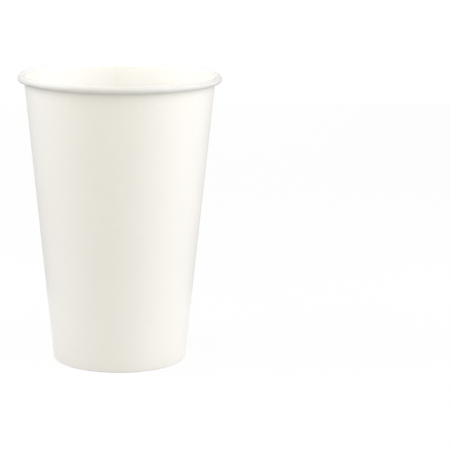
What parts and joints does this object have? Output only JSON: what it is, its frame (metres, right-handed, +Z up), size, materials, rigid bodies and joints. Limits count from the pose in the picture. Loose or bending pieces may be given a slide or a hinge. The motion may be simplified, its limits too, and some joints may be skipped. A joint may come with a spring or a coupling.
{
  "type": "paper coffee cup",
  "caption": "Tall tapered paper cup for hot drinks, with a rolled rim, a lapped side seam and a recessed base held in a folded hem.",
  "frame": {"origin": "centre of the cup's footprint, on the surface that it stands on", "axes": "+Z up along the cup's axis, from the foot to the rim; -Y towards the viewer of the picture, with the side seam at the back near +Y"},
  "size_m": [0.09, 0.09, 0.128],
  "materials": {
    "cup_board": "matte warm white paperboard, with a thin smooth coating on the inside",
    "base_board": "matte warm white paperboard, coated on its upper face"
  },
  "bodies": {
    "root": {"side_wall": "cup_board", "base_disc": "base_board"}
  },
  "joints": []
}
